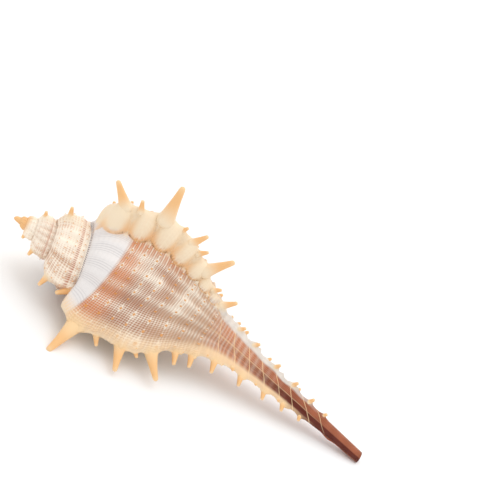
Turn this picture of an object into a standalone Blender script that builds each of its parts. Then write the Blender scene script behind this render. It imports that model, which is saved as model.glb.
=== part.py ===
"""Murex shell, lying on its spines: one solid, in metres, +Z up, at its real size.

The shell is a coil round an axis. Its wall is a curve of (radius, depth), with depth counted down the
axis from the apex to the tip of the canal. The curve turns round the axis and grows. A turn number says
how far: it is 0 at the lip, where growth ended, and -1 one whole turn before it. A row number runs
across the wall: 0 at the seam that the whorl hangs from, 1 at the next seam, 2 at the canal's tip.
"""

import math

import bmesh
import bpy
import numpy as np
from mathutils import Matrix, Vector

NAME = "murex_shell"
MM = 0.001
COLOUR = (0.86, 0.71, 0.58, 1.0)
ROUGHNESS = 0.42

# The coil, in millimetres and turns
SHELL_LENGTH = 100.0
WHORL_RATIO = 1.8
SPIRE_HALF_ANGLE = math.radians(23.5)
LIP_SEAM_DEPTH = 20.6
BODY_SEAM = (13.2, 36.5)
FIRST_TURN = -5
WHORL_BULGE = 0.12
BULGE_POWER = 0.6
CAP_RISE = 0.9
CAP_RINGS = ((0.55, 0.7), (0.0, 1.0))  # shares of the opening's radius and of the rise

# The wall below the body seam, as (radius, depth), just behind the lip and at the lip
BASE_BEHIND_LIP = (6.4, 31.0)
BASE_AT_LIP = (8.9, 46.5)
BASE_GROWTH = 0.7
SEAM_SLOPE_ROW = 0.97  # the wall's slope at the body seam is taken from here to row 1
WAIST_BEHIND_LIP = (4.3, 47.0)
WAIST_AT_LIP = (6.3, 52.5)
NECK = (3.7, 58.5)
CANAL = (2.2, 72.0)
CANAL_LOW = (1.75, 86.0)
CANAL_TIP = (1.4, SHELL_LENGTH)
BODY_SHIFT = 1.8
BODY_SHIFT_DEPTHS = (14.0, 38.0)
CANAL_BEND = 0.214
CANAL_BEND_DEPTH = 49.0
CANAL_BEND_SOFTNESS = 4.0
BORE_WALL = 0.4
BORE_DEPTH = 3.0

# The thick ribs, called varices: three to a turn, steep in front and sloping behind
VARICES_PER_TURN = 3
VARIX_TRAIL_DEG = 38.0
VARIX_FACE_DEPTHS = (44.0, 72.0)
VARIX_FACE_DEG = (11.0, 26.0)
VARIX_HEIGHTS = {
    0: (
        (15.0, 3.4), (26.0, 4.1), (34.0, 4.1), (40.0, 3.4), (47.0, 2.2), (52.0, 2.0), (58.0, 2.3),
        (65.0, 2.0), (71.5, 1.4), (77.0, 0.9), (85.0, 0.4), (92.0, 0.0),
    ),
    -1: (
        (15.0, 5.0), (26.0, 6.0), (34.0, 6.0), (40.0, 4.7), (44.5, 2.6), (48.5, 1.4), (52.0, 0.8),
        (59.0, 0.5), (71.0, 0.4), (92.0, 0.0),
    ),
    -2: (
        (15.0, 4.0), (26.0, 4.8), (34.0, 4.6), (40.0, 3.4), (47.0, 2.0), (52.0, 1.2), (60.0, 0.8),
        (72.0, 0.5), (92.0, 0.0),
    ),
}
SPIRE_VARIX_HEIGHT = 0.085
SPIRE_VARIX_POWER = 0.6
VARIX_TOP_ROWS = {0: 0.12, -1: 0.26, -2: 0.2}
KNOBS_PER_VARIX = 3
KNOB_HEIGHT = 0.035
KNOB_DEG = (8.0, 24.0)  # knobs fade in over this much turn on each side of a varix

# The mouth: the lip's rim, the inner rim, and how far the hollow follows the whorl back
LIP_RIM = 1.0
INNER_RIM = 0.8
RIM_SHARES = (0.35, 0.3)  # the most of the mouth's width that the two rims take
HOLLOW_STEP = 0.05
HOLLOW_TURN = 0.16
HOLLOW_WIDTHS = (3.0, 6.0)
SLIT_SUNK = 0.35
SLIT_TURN = 0.12
SLIT_DEPTHS = (50.0, 58.0, 93.0, 98.0)
MOUTH_COLUMNS = 7

# Spines of each varix of the last whorl: depth of the root, length, lean down the axis in degrees
SPINES = {
    0: (
        (19.8, 5.0, -46), (24.6, 10.3, -15), (29.7, 3.0, 25), (35.8, 6.9, 12), (39.3, 2.1, 36),
        (42.7, 7.5, 33), (47.9, 4.0, 19), (51.8, 3.9, 13), (57.4, 3.6, 10), (64.8, 3.0, 8),
        (71.5, 2.6, 8), (77.0, 2.2, 8), (82.1, 1.4, 5),
    ),
    -1: (
        (21.2, 7.4, -43), (24.6, 3.2, -20), (30.5, 10.6, -4), (34.8, 2.2, 28), (38.3, 4.7, 32),
        (40.8, 2.9, 46), (44.4, 8.2, 36), (48.5, 2.4, 50), (52.2, 4.2, 45), (58.9, 1.9, 42),
        (63.8, 1.9, 42), (70.8, 2.0, 33), (76.8, 2.0, 28), (82.4, 1.8, 25), (87.0, 1.3, 32),
    ),
    -2: (
        (13.4, 4.4, -42), (17.6, 8.8, -14), (23.2, 2.0, 2), (27.6, 5.2, 10), (33.0, 2.0, 22),
        (38.0, 6.0, 30), (44.5, 3.2, 28), (50.5, 3.6, 30), (59.0, 2.6, 26), (66.0, 2.2, 26),
        (73.0, 2.0, 28), (79.0, 1.7, 28), (85.0, 1.3, 28),
    ),
}
SPIRE_SPINE_VARICES = range(-9, -2)
SPIRE_SPINE_ROW = 0.35
SPIRE_SPINE_LENGTH = 0.29
SPIRE_SPINE_LEAN = -15
SPINE_FOOT = (0.5, 0.125)
SPINE_TIP = (0.2, 0.026)
SPINE_PROFILE = ((0.0, 1.75), (0.16, 1.0), (0.42, 0.6), (0.92, 0.14), (1.0, 0.0))
SPINE_SUNK = (0.19, 0.5)  # shares of the length and of the foot's radius
SPINE_END = (0.96, 0.55)  # past this share of the length, the tip narrows to this share of its width

# How the shell lies: the varix before the lip points up, and it stands on two spines and the canal
LIP_BEARING = math.radians(-120.0)
BEND_BEARING = math.radians(-152.0)
FRONT_FOOT = (0, 24.6)
BACK_FOOT = (-2, 17.6)
FOOT_WEAR = 0.25
CANAL_END_DEPTH = 95.0

# How fine the mesh is
COLUMNS_PER_TURN = 42
UPPER_ROWS = 6
LOWER_ROWS = 20
NECK_SHARE = 0.5
CANAL_ROW_POWER = 1.1
SPINE_SIDES = 6
ROW_SAMPLES = 401
SAME_POINT = 5e-6
ON_PLANE = 1e-7

# Below the neck the lip and the whorl behind share their rows. Above it, the whorl behind uses this
# share of the lip's rows to come down from its body seam.
NECK_BEHIND = NECK_SHARE * LOWER_ROWS / (UPPER_ROWS + NECK_SHARE * LOWER_ROWS)


def blend(a, b, share):
    return tuple(p + (q - p) * share for p, q in zip(a, b))


def smooth(x, low, high):
    """0 below low, 1 above high, and an S curve between."""
    share = min(1.0, max(0.0, (x - low) / (high - low)))
    return share * share * (3 - 2 * share)


def seam(turn):
    """(radius, depth) of the seam that the whorl hangs from. Past the lip it is only a line on the wall."""
    lip = (LIP_SEAM_DEPTH * math.tan(SPIRE_HALF_ANGLE), LIP_SEAM_DEPTH)
    if turn <= 0:
        return tuple(x * WHORL_RATIO**turn for x in lip)
    return tuple(x * (y / x) ** turn for x, y in zip(lip, BODY_SEAM))


def upper_wall(turn, row):
    """The wall from the whorl's own seam to the next, bulging out between them."""
    top, bottom = seam(turn), seam(turn + 1)
    across, down = bottom[0] - top[0], bottom[1] - top[1]
    bulge = WHORL_BULGE * top[1] * math.sin(math.pi * row**BULGE_POWER) / math.hypot(across, down)
    radius, depth = blend(top, bottom, row)
    return radius + down * bulge, depth - across * bulge


def lower_wall(turn, share):
    """The wall of the last whorl from the body seam, share 0, to the canal's tip, share 1."""
    grown = turn + 1
    near = upper_wall(turn, SEAM_SLOPE_ROW)
    base = blend(BASE_BEHIND_LIP, BASE_AT_LIP, max(0.0, grown) ** BASE_GROWTH)
    waist = blend(WAIST_BEHIND_LIP, WAIST_AT_LIP, grown)
    keys = [upper_wall(turn, 1.0), base, waist, NECK, CANAL, CANAL_LOW, CANAL_TIP]
    slopes = [(keys[0][0] - near[0]) / (keys[0][1] - near[1])]
    slopes += [(b[0] - a[0]) / (b[1] - a[1]) for a, b in zip(keys, keys[2:])]
    slopes.append((keys[-1][0] - keys[-2][0]) / (keys[-1][1] - keys[-2][1]))
    if share < NECK_SHARE:
        depth = keys[0][1] + (NECK[1] - keys[0][1]) * share / NECK_SHARE
    else:
        past = (share - NECK_SHARE) / (1 - NECK_SHARE)
        depth = NECK[1] + (SHELL_LENGTH - NECK[1]) * past**CANAL_ROW_POWER
    i = max(i for i in range(len(keys) - 1) if i == 0 or depth >= keys[i][1])
    (r0, d0), (r1, d1) = keys[i], keys[i + 1]
    x = (depth - d0) / (d1 - d0)
    ends = r0 * (1 + 2 * x) * (1 - x) ** 2 + r1 * x * x * (3 - 2 * x)
    sides = slopes[i] * x * (1 - x) ** 2 + slopes[i + 1] * x * x * (x - 1)
    slit = smooth(depth, *SLIT_DEPTHS[:2]) * (1 - smooth(depth, *SLIT_DEPTHS[2:]))
    slit *= 1 - smooth(grown, 0.0, SLIT_TURN)
    return (ends + sides * (d1 - d0)) * (1 - SLIT_SUNK * slit), depth


def wall(turn, row):
    return upper_wall(turn, row) if row <= 1 else lower_wall(turn, row - 1)


def outward(turn, row):
    """The unit vector (radius, depth) that points out of the wall."""
    step = 0.01
    r0, d0 = wall(turn, max(0.0, row - step))
    r1, d1 = wall(turn, min(2.0, row + step))
    length = math.hypot(r1 - r0, d1 - d0)
    return (d1 - d0) / length, -(r1 - r0) / length


def varix_height(number, row, depth):
    """How high the crest of a varix stands at a row. Varices are numbered back from the lip's, 0."""
    if number <= -VARICES_PER_TURN:
        across = max(0.0, math.sin(math.pi * min(1.0, row))) ** SPIRE_VARIX_POWER
        return SPIRE_VARIX_HEIGHT * seam(number / VARICES_PER_TURN + 1)[1] * across
    height = float(np.interp(depth, *zip(*VARIX_HEIGHTS[number])))
    return height * smooth(row, 0.0, VARIX_TOP_ROWS[number])


def lift(turn, row):
    """How far the varices and knobs raise the wall."""
    number = round(turn * VARICES_PER_TURN)
    depth = wall(turn, row)[1]
    past = (turn - number / VARICES_PER_TURN) * 360
    face = float(np.interp(depth, VARIX_FACE_DEPTHS, VARIX_FACE_DEG))
    fall = smooth(past, -VARIX_TRAIL_DEG, 0.0) if past <= 0 else 1 - smooth(past, 0.0, face)
    knobs = 0.5 - 0.5 * math.cos(2 * math.pi * turn * VARICES_PER_TURN * KNOBS_PER_VARIX)
    knobs *= smooth(abs(past), *KNOB_DEG) * math.sin(math.pi * min(1.0, row)) ** 2
    return varix_height(number, row, depth) * fall + KNOB_HEIGHT * seam(turn)[1] * knobs


def raised(turn, row):
    """(radius, depth) of the finished wall."""
    radius, depth = wall(turn, row)
    out = outward(turn, row)
    height = lift(turn, row)
    return radius + out[0] * height, depth + out[1] * height


def bearing(turn):
    """The shell is right-handed: seen from its apex, it grows clockwise."""
    return LIP_BEARING - 2 * math.pi * turn


def placed(radius, depth, angle):
    """A point of the shell with its axis along +X and bearing 0 straight up, with the canal's bend."""
    past = (depth - CANAL_BEND_DEPTH) / CANAL_BEND_SOFTNESS
    drift = CANAL_BEND * CANAL_BEND_SOFTNESS * math.log1p(math.exp(past))
    drift -= BODY_SHIFT * smooth(depth, *BODY_SHIFT_DEPTHS)
    side = radius * math.sin(angle) + drift * math.sin(BEND_BEARING)
    up = radius * math.cos(angle) + drift * math.cos(BEND_BEARING)
    return Vector((depth, side, up)) * MM


def add_sheet(shell, columns, rows, place):
    """A grid whose points are placed by a function of (column share, row share)."""
    grid = bmesh.ops.create_grid(shell, x_segments=columns, y_segments=rows, size=1.0)["verts"]
    for vert in grid:
        vert.co = place((vert.co.x + 1) / 2, (vert.co.y + 1) / 2)


def spire_point(across, down):
    turn = FIRST_TURN + (-1 - FIRST_TURN) * across
    return placed(*raised(turn, down), bearing(turn))


def last_turn_row(share):
    """Row numbers 0 to 2 for an even share of all the rows of the last turn."""
    at = share * (UPPER_ROWS + LOWER_ROWS)
    return at / UPPER_ROWS if at <= UPPER_ROWS else 1 + (at - UPPER_ROWS) / LOWER_ROWS


def last_turn_point(across, down):
    return placed(*raised(across - 1, last_turn_row(down)), bearing(across - 1))


def mouth_point(across, down):
    """The face of the last whorl, from the lip's edge, across 0, to the whorl behind, across 1."""
    row = last_turn_row(down)
    shared = round(down * (UPPER_ROWS + LOWER_ROWS) * NECK_BEHIND)
    behind_row = row if row >= 1 + NECK_SHARE else 1 + shared / LOWER_ROWS
    width = max(math.dist(wall(0, row), wall(-1, behind_row)), 1e-6)
    hollow = smooth(width, *HOLLOW_WIDTHS)
    column = round(across * MOUTH_COLUMNS)
    back = (0.0, 0.0, 0.5, 1.0, 1.0, 0.5, 0.0, 0.0)[column]
    turn = -HOLLOW_TURN * back * hollow
    rim = min(LIP_RIM / width, RIM_SHARES[0])
    inner = 1 - min(INNER_RIM / width, RIM_SHARES[1])
    share = (0.0, rim, rim, rim + HOLLOW_STEP, inner - HOLLOW_STEP, inner, inner, 1.0)[column]
    if column == 0:
        point = raised(0, row)
    else:
        point = blend(wall(turn, row), wall(turn - 1, behind_row), share)
    return placed(*point, bearing(turn))


def close_start(shell):
    """Draws the open start of the coil together into a small round cap."""
    half = LIP_SEAM_DEPTH * MM / 2
    start = [e for e in shell.edges if e.is_boundary and all(v.co.x < half for v in e.verts)]
    for shrink, rise in CAP_RINGS:
        grown = bmesh.ops.extrude_edge_only(shell, edges=start)["geom"]
        verts = [g for g in grown if isinstance(g, bmesh.types.BMVert)]
        middle = sum((v.co for v in verts), Vector()) / len(verts)
        for vert in verts:
            vert.co = middle.lerp(vert.co, shrink) - Vector((CAP_RISE * rise * MM, 0, 0))
        start = [g for g in grown if isinstance(g, bmesh.types.BMEdge)]
    bmesh.ops.remove_doubles(shell, verts=verts, dist=MM)


def close_tip(shell):
    """Closes the canal's tip with a short bore in it."""
    rim = [e for e in shell.edges if e.is_boundary]
    face = bmesh.ops.contextual_create(shell, geom=rim)["faces"]
    bmesh.ops.inset_region(shell, faces=face, thickness=BORE_WALL * MM, use_even_offset=True)
    floor = bmesh.ops.extrude_face_region(shell, geom=face)["geom"]
    verts = [g for g in floor if isinstance(g, bmesh.types.BMVert)]
    along = Vector((1, CANAL_BEND * math.sin(BEND_BEARING), CANAL_BEND * math.cos(BEND_BEARING)))
    bmesh.ops.translate(shell, vec=along * -BORE_DEPTH * MM, verts=verts)
    bmesh.ops.delete(shell, geom=face, context="FACES_ONLY")


def row_at(turn, depth):
    rows = np.linspace(0.0, 2.0, ROW_SAMPLES)
    return float(np.interp(depth, [raised(turn, row)[1] for row in rows], rows))


def spine_place(turn, row, lean):
    """The matrix that stands a spine on the wall, leaning down the axis."""
    angle = bearing(turn)
    root = placed(*raised(turn, row), angle)
    out = Vector((0, math.sin(angle), math.cos(angle)))
    direction = out * math.cos(math.radians(lean)) + Vector((1, 0, 0)) * math.sin(math.radians(lean))
    return Matrix.Translation(root) @ direction.to_track_quat("Z", "Y").to_matrix().to_4x4()


def spine_list():
    """(name, place, length) of every spine."""
    for number, spines in SPINES.items():
        turn = number / VARICES_PER_TURN
        for depth, length, lean in spines:
            yield f"spine_{-number}_{depth:g}", spine_place(turn, row_at(turn, depth), lean), length
    for number in SPIRE_SPINE_VARICES:
        turn = number / VARICES_PER_TURN
        place = spine_place(turn, SPIRE_SPINE_ROW, SPIRE_SPINE_LEAN)
        yield f"spine_{-number}", place, SPIRE_SPINE_LENGTH * seam(turn)[1]


def make_spine(name, place, length, collection):
    """A round spine with a blunt tip and a foot that flares out and reaches into the wall."""
    spine = bmesh.new()
    bmesh.ops.create_cone(spine, cap_ends=True, segments=SPINE_SIDES, radius1=1, radius2=1, depth=1)
    for share, _ in SPINE_PROFILE[1:-1]:
        cut = Vector((0, 0, share - 0.5))
        geom = spine.verts[:] + spine.edges[:] + spine.faces[:]
        bmesh.ops.bisect_plane(spine, geom=geom, plane_co=cut, plane_no=(0, 0, 1))
    foot = SPINE_FOOT[0] + SPINE_FOOT[1] * length
    tip = SPINE_TIP[0] + SPINE_TIP[1] * length
    sunk = SPINE_SUNK[0] * length + SPINE_SUNK[1] * foot
    for vert in spine.verts:
        share = vert.co.z + 0.5
        width = tip + (foot - tip) * float(np.interp(share, *zip(*SPINE_PROFILE)))
        if share > SPINE_END[0]:
            width *= SPINE_END[1]
        vert.co = Vector((vert.co.x * width, vert.co.y * width, share * (length + sunk) - sunk)) * MM
    bmesh.ops.transform(spine, matrix=place, verts=spine.verts)
    return finish_mesh(spine, name, collection)


def finish_mesh(shape, name, collection):
    mesh = bpy.data.meshes.new(name)
    shape.to_mesh(mesh)
    shape.free()
    thing = bpy.data.objects.new(name, mesh)
    collection.objects.link(thing)
    return thing


def make_body(collection):
    """The shell without its spines."""
    shell = bmesh.new()
    add_sheet(shell, (-1 - FIRST_TURN) * COLUMNS_PER_TURN, UPPER_ROWS, spire_point)
    add_sheet(shell, COLUMNS_PER_TURN, UPPER_ROWS + LOWER_ROWS, last_turn_point)
    add_sheet(shell, MOUTH_COLUMNS, UPPER_ROWS + LOWER_ROWS, mouth_point)
    bmesh.ops.remove_doubles(shell, verts=shell.verts, dist=SAME_POINT)
    bmesh.ops.dissolve_degenerate(shell, edges=shell.edges, dist=SAME_POINT)
    close_start(shell)
    close_tip(shell)
    bmesh.ops.recalc_face_normals(shell, faces=shell.faces)
    return finish_mesh(shell, NAME, collection)


def foot_point(number, depth):
    """Where the tip of a named spine is."""
    turn = number / VARICES_PER_TURN
    length, lean = next(s[1:] for s in SPINES[number] if s[0] == depth)
    return spine_place(turn, row_at(turn, depth), lean) @ Vector((0, 0, length * MM))


def lay_down(shell):
    """Turns the shell to stand on its two feet and its canal, and wears the three points flat."""
    mesh = bmesh.new()
    mesh.from_mesh(shell.data)
    front, back = foot_point(*FRONT_FOOT), foot_point(*BACK_FOOT)
    side = (front - back).normalized()
    canal_end = [v.co for v in mesh.verts if v.co.x > CANAL_END_DEPTH * MM]
    tip = min(canal_end, key=lambda point: point.z)
    up = (tip - front).cross(side)
    up = (up if up.z > 0 else -up).normalized()
    along = (Vector((1, 0, 0)) - up * up.x).normalized()
    turn = Matrix((along, up.cross(along), up)).to_4x4()
    bmesh.ops.transform(mesh, matrix=turn, verts=mesh.verts)
    floor = min(v.co.z for v in mesh.verts) + FOOT_WEAR * MM
    geom = mesh.verts[:] + mesh.edges[:] + mesh.faces[:]
    cut = bmesh.ops.bisect_plane(
        mesh, geom=geom, plane_co=(0, 0, floor), plane_no=(0, 0, -1), clear_outer=True, dist=ON_PLANE
    )["geom_cut"]
    edges = [g for g in cut if isinstance(g, bmesh.types.BMEdge)]
    bmesh.ops.holes_fill(mesh, edges=edges, sides=0)
    low = [min(v.co[i] for v in mesh.verts) for i in range(3)]
    high = [max(v.co[i] for v in mesh.verts) for i in range(3)]
    shift = Vector((-(low[0] + high[0]) / 2, -(low[1] + high[1]) / 2, -floor))
    bmesh.ops.translate(mesh, vec=shift, verts=mesh.verts)
    bmesh.ops.triangulate(mesh, faces=mesh.faces)
    mesh.to_mesh(shell.data)
    mesh.free()


def give_material(thing):
    material = bpy.data.materials.new("shell")
    material.use_nodes = True
    surface = material.node_tree.nodes["Principled BSDF"]
    surface.inputs["Base Color"].default_value = COLOUR
    surface.inputs["Roughness"].default_value = ROUGHNESS
    thing.data.materials.clear()
    thing.data.materials.append(material)


def join_spines(body, spines):
    """Unites the body with every spine, as one mesh."""
    union = body.modifiers.new("spines", "BOOLEAN")
    union.operation = "UNION"
    union.operand_type = "COLLECTION"
    union.collection = spines
    union.solver = "EXACT"
    seen = body.evaluated_get(bpy.context.evaluated_depsgraph_get())
    joined = bpy.data.meshes.new_from_object(seen)
    body.modifiers.clear()
    body.data = joined
    for thing in list(spines.objects):
        bpy.data.objects.remove(thing)
    bpy.data.collections.remove(spines)


def main():
    for thing in list(bpy.data.objects):
        bpy.data.objects.remove(thing)
    collection = bpy.data.collections.new(NAME)
    bpy.context.scene.collection.children.link(collection)
    spines = bpy.data.collections.new("spines")
    bpy.context.scene.collection.children.link(spines)
    body = make_body(collection)
    for name, place, length in spine_list():
        make_spine(name, place, length, spines)
    join_spines(body, spines)
    lay_down(body)
    give_material(body)


main()
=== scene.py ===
"""Murex shell: the finished look of the shell, with its floor, light and camera.

The shell is a coil round an axis, as in the part's own source. A turn number says how far it has grown:
0 at the lip, -1 one whole turn before. Rows run down the wall: across the shoulder, down the body, and
along the canal to its tip. Rows follow the spiral cords, four rows to a cord.
"""

import math

import bmesh
import bpy
import numpy as np
from mathutils import Matrix, Vector


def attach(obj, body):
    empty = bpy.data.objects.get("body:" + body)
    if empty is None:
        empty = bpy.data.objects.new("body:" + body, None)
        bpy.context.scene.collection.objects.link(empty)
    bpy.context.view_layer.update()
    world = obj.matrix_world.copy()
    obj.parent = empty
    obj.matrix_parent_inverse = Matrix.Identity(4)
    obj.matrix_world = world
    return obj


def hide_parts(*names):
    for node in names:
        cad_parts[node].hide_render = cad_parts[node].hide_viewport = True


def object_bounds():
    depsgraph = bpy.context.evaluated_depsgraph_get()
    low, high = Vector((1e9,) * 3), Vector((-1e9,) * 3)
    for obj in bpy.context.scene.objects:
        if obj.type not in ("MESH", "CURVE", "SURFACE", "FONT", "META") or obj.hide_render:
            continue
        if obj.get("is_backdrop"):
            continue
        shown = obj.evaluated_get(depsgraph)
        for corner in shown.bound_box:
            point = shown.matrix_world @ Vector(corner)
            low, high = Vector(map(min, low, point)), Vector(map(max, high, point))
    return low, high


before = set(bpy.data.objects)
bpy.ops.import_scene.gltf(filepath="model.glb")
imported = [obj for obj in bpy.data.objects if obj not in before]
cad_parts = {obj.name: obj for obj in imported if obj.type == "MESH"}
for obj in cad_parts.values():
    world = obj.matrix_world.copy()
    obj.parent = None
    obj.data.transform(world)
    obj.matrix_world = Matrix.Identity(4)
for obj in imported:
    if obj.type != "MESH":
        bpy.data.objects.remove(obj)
CAD_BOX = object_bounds()

bl_info = {
    "name": "Murex shell",
    "version": (1, 0, 0),
    "blender": (4, 5, 0),
    "location": "View3D > Sidebar > Murex",
    "description": "Models a spiny murex shell and sets it on a pale floor",
    "category": "Add Mesh",
}

NAME = "murex_shell"
MM = 0.001

# The coil and its wall, in millimetres and turns, as in the part's source
SHELL_LENGTH = 100.0
WHORL_RATIO = 1.8
SPIRE_HALF_ANGLE = math.radians(23.5)
LIP_SEAM_DEPTH = 20.6
BODY_SEAM = (13.2, 36.5)
FIRST_TURN = -5
WHORL_BULGE = 0.12
BULGE_POWER = 0.6
CAP_RISE = 1.5
CAP_RINGS = ((0.92, 0.35), (0.75, 0.66), (0.45, 0.9), (0.2, 0.98), (0.0, 1.0))
BASE_BEHIND_LIP = (6.4, 31.0)
BASE_AT_LIP = (8.9, 46.5)
BASE_GROWTH = 0.7
SEAM_SLOPE_ROW = 0.97
WAIST_BEHIND_LIP = (4.3, 47.0)
WAIST_AT_LIP = (6.3, 52.5)
NECK = (3.7, 58.5)
CANAL = (2.2, 72.0)
CANAL_LOW = (1.75, 86.0)
CANAL_TIP = (1.4, SHELL_LENGTH)
NECK_SHARE = 0.5
CANAL_ROW_POWER = 1.1
BODY_SHIFT = 1.8
BODY_SHIFT_DEPTHS = (14.0, 38.0)
CANAL_BEND = 0.214
CANAL_BEND_DEPTH = 49.0
CANAL_BEND_SOFTNESS = 4.0
SLIT_SUNK = 0.35
SLIT_TURN = 0.12
SLIT_DEPTHS = (50.0, 58.0, 93.0, 98.0)
LIP_BEARING = math.radians(-120.0)
BEND_BEARING = math.radians(-152.0)

# The thick ribs, called varices
VARICES_PER_TURN = 3
VARIX_TRAIL_DEG = 38.0
VARIX_FACE_DEPTHS = (44.0, 72.0)
VARIX_FACE_DEG = (12.5, 26.0)
VARIX_HEIGHTS = {
    0: (
        (15.0, 3.4), (26.0, 4.1), (34.0, 4.1), (40.0, 3.4), (47.0, 2.2), (52.0, 2.0), (58.0, 2.3),
        (65.0, 2.0), (71.5, 1.4), (77.0, 0.9), (85.0, 0.4), (92.0, 0.0),
    ),
    -1: (
        (15.0, 5.0), (26.0, 6.0), (34.0, 6.0), (40.0, 4.7), (44.5, 2.6), (48.5, 1.4), (52.0, 0.8),
        (59.0, 0.5), (71.0, 0.4), (92.0, 0.0),
    ),
    -2: (
        (15.0, 4.0), (26.0, 4.8), (34.0, 4.6), (40.0, 3.4), (47.0, 2.0), (52.0, 1.2), (60.0, 0.8),
        (72.0, 0.5), (92.0, 0.0),
    ),
}
SPIRE_VARIX_HEIGHT = 0.085
SPIRE_VARIX_POWER = 0.6
VARIX_TOP_ROWS = {0: 0.12, -1: 0.26, -2: 0.2}
KNOBS_PER_VARIX = 3
KNOB_HEIGHT = 0.035
KNOB_DEG = (8.0, 24.0)
LOBE_DEPTHS = (
    15.8, 21.4, 27.0, 32.5, 37.3, 42.0, 45.9, 49.3, 52.6, 56.0, 60.0, 65.0, 71.0, 78.0, 86.0,
)

# The mouth
LIP_RIM = 1.0
INNER_RIM = 0.8
RIM_SHARES = (0.35, 0.3)
HOLLOW_STEP = 0.05
HOLLOW_TURN = 0.16
HOLLOW_WIDTHS = (3.0, 6.0)
BORE_WALL = 0.4
BORE_DEPTH = 6.0

# Spines of each varix of the last whorl: depth of the root, length, lean down the axis in degrees
SPINES = {
    0: (
        (19.8, 5.0, -46), (24.6, 10.3, -15), (29.7, 3.0, 25), (35.8, 6.9, 12), (39.3, 2.1, 36),
        (42.7, 7.5, 33), (47.9, 4.0, 19), (51.8, 3.9, 13), (57.4, 3.6, 10), (64.8, 3.0, 8),
        (71.5, 2.6, 8), (77.0, 2.2, 8), (82.1, 1.4, 5),
    ),
    -1: (
        (21.2, 7.4, -43), (24.6, 3.2, -20), (30.5, 10.6, -4), (34.8, 2.2, 28), (38.3, 4.7, 32),
        (40.8, 2.9, 46), (44.4, 8.2, 36), (48.5, 2.4, 50), (52.2, 4.2, 45), (58.9, 1.9, 42),
        (63.8, 1.9, 42), (70.8, 2.0, 33), (76.8, 2.0, 28), (82.4, 1.8, 25), (87.0, 1.3, 32),
    ),
    -2: (
        (13.4, 4.4, -42), (17.6, 8.8, -14), (23.2, 2.0, 2), (27.6, 5.2, 10), (33.0, 2.0, 22),
        (38.0, 6.0, 30), (44.5, 3.2, 28), (50.5, 3.6, 30), (59.0, 2.6, 26), (66.0, 2.2, 26),
        (73.0, 2.0, 28), (79.0, 1.7, 28), (85.0, 1.3, 28),
    ),
}
SPIRE_SPINE_VARICES = range(-9, -2)
SPIRE_SPINE_ROW = 0.35
SPIRE_SPINE_LENGTH = 0.29
SPIRE_SPINE_LEAN = -15
SPINE_FOOT = (0.42, 0.18)
SPINE_TIP = (0.29, 0.034)
SPINE_PROFILE = (
    (0.0, 0.3), (0.06, 0.8), (0.12, 1.0), (0.2, 0.9), (0.32, 0.68), (0.48, 0.48), (0.64, 0.3),
    (0.8, 0.16), (0.93, 0.06), (0.975, -0.03), (1.0, -0.28),
)
SPINE_SUNK = (0.05, 0.3)
FRONT_FOOT = (0, 24.6)
BACK_FOOT = (-2, 17.6)
FOOT_WEAR = 0.25
CANAL_END_DEPTH = 95.0

# The mesh: rows at the colour band's edge, at the next seam, at the neck and at the tip
BAND_ROW = 32
SEAM_ROW = 52
NECK_ROW = 135
TIP_ROW = 176
ROWS_PER_CORD = 4
BAND_SHARE = 0.62
BAND_EDGE = ((-0.667, 21.0), (-0.333, 26.2), (-0.17, 25.4), (0.0, 22.8))
CORD_SPACING = 1.0
FULL_SCALE_TURN = -0.4
COARSE_COLUMNS = 106
FINE_COLUMNS = 164
FINE_FROM = -0.44
MOUTH_STEPS = 3
MOUTH_BACK = (0.0, 0.0, 0.5, 1.0, 1.0, 0.5, 0.0, 0.0)
LIP_ROUNDING = 0.35
SAME_TURN = 1e-6
SAME_POINT = 8e-6
ON_PLANE = 1e-7

# Relief, in millimetres on the last whorl, where every second bead is raised and the others are colour
CORD_HEIGHT = 0.035
MAIN_CORD_HEIGHT = 0.1
MAIN_CORD_EVERY = 3
BEAD_HEIGHT = 0.3
BEADS_PER_TURN = 36
RIBS_PER_TURN = 18
RIB_HEIGHT = 0.45
SPIRE_RIB_HEIGHT = 0.65
SPIRE_RIB_CORDS = 2.4
SPIRE_BEAD_HEIGHT = 0.7
THREAD_HEIGHT = 0.16
SEAM_GROOVE_DEPTH = 0.25
SEAM_GROOVE_ROW = 0.02

# Shares by which relief is stronger or weaker in places
SPIRE_KNOB_GAIN = 1.1
BODY_KNOB_SHARE = 0.6
LOBE_WIDENS = 0.62
LOBE_GAP_NARROWS = 0.42
LOBE_GAP_DROP = 0.5
FIRST_LOBE_DROP = 0.35
FACE_ROUNDING = (2.2, 0.75)
ROLLED_HEIGHT = 0.8
TRAIL_SMOOTHED = 0.7
SHOULDER_SMOOTHED = 0.9
CANAL_SMOOTHED = 0.6

# Where relief and its colours come in or go out, over turns, rows, depths, or degrees past a rib's crest
LAST_WHORL_TURNS = (-0.86, -0.8)
SPIRE_KNOB_TURNS = (-1.0, -0.85)
BODY_KNOB_TURNS = (-1.0, -0.9)
BEHIND_MOUTH_TURNS = (-1.0, -0.96)
GROOVE_END_TURNS = (-0.06, 0.0)
JOIN_TURNS = (0.0, 0.03)
JOIN_KNOB_TURNS = (0.0, 0.05)
SEAM_ROWS = (0.0, 0.06)
NEXT_SEAM_ROWS = (0.93, 1.0)
BODY_KNOB_ROWS = (0.2, 0.5)
RIB_ROWS = (0.05, 0.25)
THREAD_ROWS = (0.15, 0.3)
FIRST_LOBE_DEPTHS = (15.0, 21.0)
BODY_KNOB_DEPTHS = (44.0, 54.0)
RIB_DEPTHS = (46.0, 54.0)
LIP_TRAIL_DEPTHS = (48.0, 58.0)
THREAD_DEPTHS = (50.0, 56.0)
CANAL_DEPTHS = (52.0, 60.0)
TIP_DEPTHS = (88.0, 96.0)
FACE_START_DEG = (-3.0, 4.0)
TRAIL_SMOOTH_DEG = (-8.0, 0.0)
LIP_TRAIL_DEG = (20.0, 12.0)
OTHER_TRAIL_DEG = 8.0
TOP_ROLL_START_DEG = -5.0
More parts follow.
